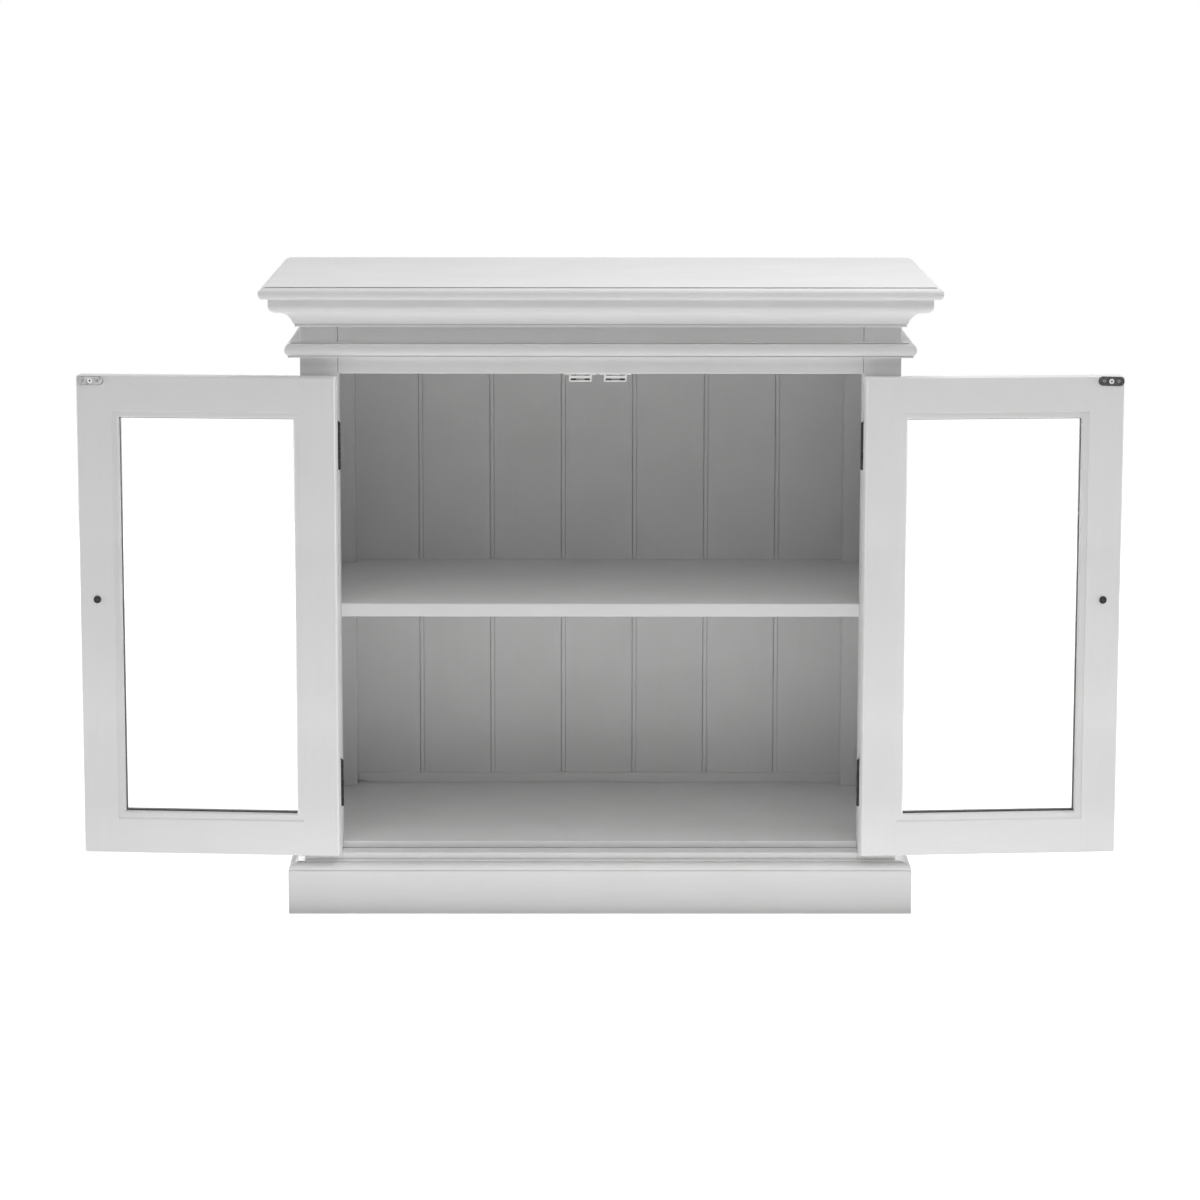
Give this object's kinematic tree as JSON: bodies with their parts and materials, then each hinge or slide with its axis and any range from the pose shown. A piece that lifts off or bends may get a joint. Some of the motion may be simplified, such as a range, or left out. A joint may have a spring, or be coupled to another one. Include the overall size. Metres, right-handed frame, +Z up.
{
  "type": "display buffet",
  "caption": "Low painted wooden display cabinet with a moulded cornice, beaded board back, one shelf and framed glass doors on butt hinges, hung open.",
  "frame": {"origin": "on the floor, at the middle of the cabinet's overall width and depth", "axes": "+Z up, -Y towards the front where the doors open, +X to the right seen from the front"},
  "size_m": [1.395, 0.482, 0.852],
  "materials": {
    "white_paint": "white satin paint on wood",
    "glass": "clear polished",
    "black_iron": "matt black",
    "white_plastic": "moulded, satin",
    "zinc_steel": "zinc plated, dull"
  },
  "bodies": {
    "cabinet": {"top_board": "white_paint", "cornice_front": "white_paint", "cornice_left": "white_paint", "cornice_right": "white_paint", "waist_moulding_front": "white_paint", "waist_moulding_left": "white_paint", "waist_moulding_right": "white_paint", "left_front_stile": "white_paint", "right_front_stile": "white_paint", "left_rear_post": "white_paint", "right_rear_post": "white_paint", "front_top_rail": "white_paint", "front_bottom_rail": "white_paint", "left_side_top_rail": "white_paint", "right_side_top_rail": "white_paint", "left_side_bottom_rail": "white_paint", "right_side_bottom_rail": "white_paint", "left_side_panel": "white_paint", "right_side_panel": "white_paint", "back_board_1": "white_paint", "back_board_2": "white_paint", "back_board_3": "white_paint", "back_board_4": "white_paint", "back_board_5": "white_paint", "back_board_6": "white_paint", "back_board_7": "white_paint", "back_bottom_cleat": "white_paint", "floor_board": "white_paint", "shelf": "white_paint", "left_shelf_cleat": "white_paint", "right_shelf_cleat": "white_paint", "plinth_front": "white_paint", "plinth_left": "white_paint", "plinth_right": "white_paint", "left_catch": "white_plastic", "right_catch": "white_plastic", "left_upper_hinge_frame_leaf": "black_iron", "left_lower_hinge_frame_leaf": "black_iron", "right_upper_hinge_frame_leaf": "black_iron", "right_lower_hinge_frame_leaf": "black_iron"},
    "left_door": {"left_door_hinge_stile": "white_paint", "left_door_lock_stile": "white_paint", "left_door_top_rail": "white_paint", "left_door_bottom_rail": "white_paint", "left_door_glass": "glass", "left_glazing_bead": "white_paint", "left_knob": "black_iron", "left_strike_plate": "zinc_steel", "left_upper_hinge_door_leaf": "black_iron", "left_lower_hinge_door_leaf": "black_iron"},
    "right_door": {"right_door_hinge_stile": "white_paint", "right_door_lock_stile": "white_paint", "right_door_top_rail": "white_paint", "right_door_bottom_rail": "white_paint", "right_door_glass": "glass", "right_glazing_bead": "white_paint", "right_knob": "black_iron", "right_strike_plate": "zinc_steel", "right_upper_hinge_door_leaf": "black_iron", "right_lower_hinge_door_leaf": "black_iron"}
  },
  "joints": [
    {"name": "left_door_hinge", "type": "hinge", "parent": "cabinet", "child": "left_door", "pos_m": [-0.349, -0.194, 0.406], "axis": [0, 0, 1], "range_deg": [-3, 184.5]},
    {"name": "right_door_hinge", "type": "hinge", "parent": "cabinet", "child": "right_door", "pos_m": [0.349, -0.194, 0.406], "axis": [0, 0, -1], "range_deg": [-3, 184.5]}
  ]
}
